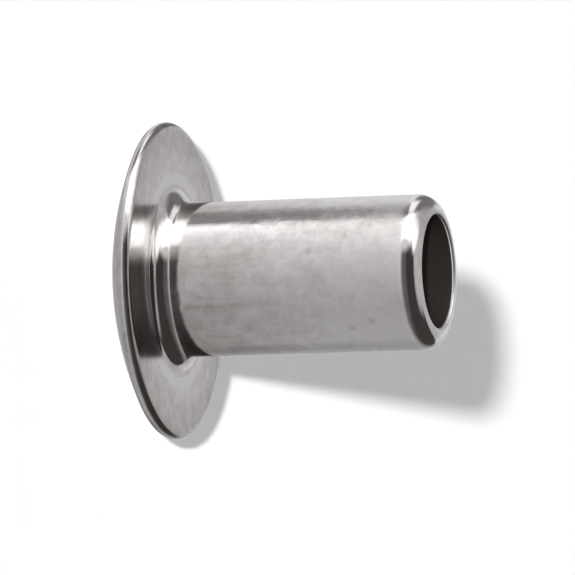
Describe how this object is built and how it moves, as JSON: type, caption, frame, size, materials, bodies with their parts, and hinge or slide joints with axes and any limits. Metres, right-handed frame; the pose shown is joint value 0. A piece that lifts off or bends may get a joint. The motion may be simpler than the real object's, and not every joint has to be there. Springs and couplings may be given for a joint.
{
  "type": "hollow rivet",
  "caption": "One-piece hollow rivet with a low domed head, a flat seat under it and a round shank with a deep bore in its end, set by rolling the end over.",
  "frame": {"origin": "centre of the flat ring under the head, where the head bears on the work", "axes": "+Z along the shank from the head to its open end; the rivet stands on its domed head"},
  "size_m": [0.0074, 0.0074, 0.0075],
  "materials": {
    "nickel_plate": "bright nickel plate on steel, satin along the shank and polished under the head"
  },
  "bodies": {
    "root": {"rivet": "nickel_plate"}
  },
  "joints": []
}
